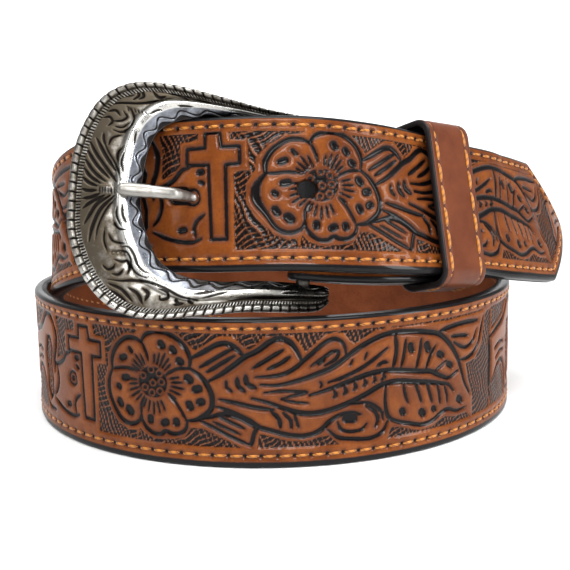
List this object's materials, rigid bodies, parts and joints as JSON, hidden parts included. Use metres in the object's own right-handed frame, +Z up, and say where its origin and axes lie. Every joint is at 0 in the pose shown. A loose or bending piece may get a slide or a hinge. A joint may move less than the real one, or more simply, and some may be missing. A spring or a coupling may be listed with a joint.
{
  "type": "western tooled belt",
  "caption": "Leather belt with carved floral tooling and a western buckle, fastened and coiled on its edge, with a pointed tip under a keeper loop.",
  "frame": {"origin": "middle of the belt's footprint, on the surface that the coil stands on", "axes": "+Z up across the strap's width, +X to the viewer's right towards the free tip, +Y away from the viewer, the buckle at the front"},
  "size_m": [0.1708, 0.1564, 0.096],
  "materials": {
    "tooled_leather": "carved and dark-stained leather with a satin wax finish and painted black edges",
    "lining_leather": "smooth vegetable-tanned lining leather, satin",
    "keeper_leather": "smooth reddish-brown leather with black edges and thread rows",
    "antique_silver": "antiqued silver plate, polished on the raised parts and dark in the recesses",
    "polished_prong": "polished silver plate"
  },
  "bodies": {
    "root": {"tooled_strap": "tooled_leather", "lining_strap": "lining_leather", "keeper_loop": "keeper_leather", "buckle_frame": "antique_silver", "buckle_prong": "polished_prong"}
  },
  "joints": []
}
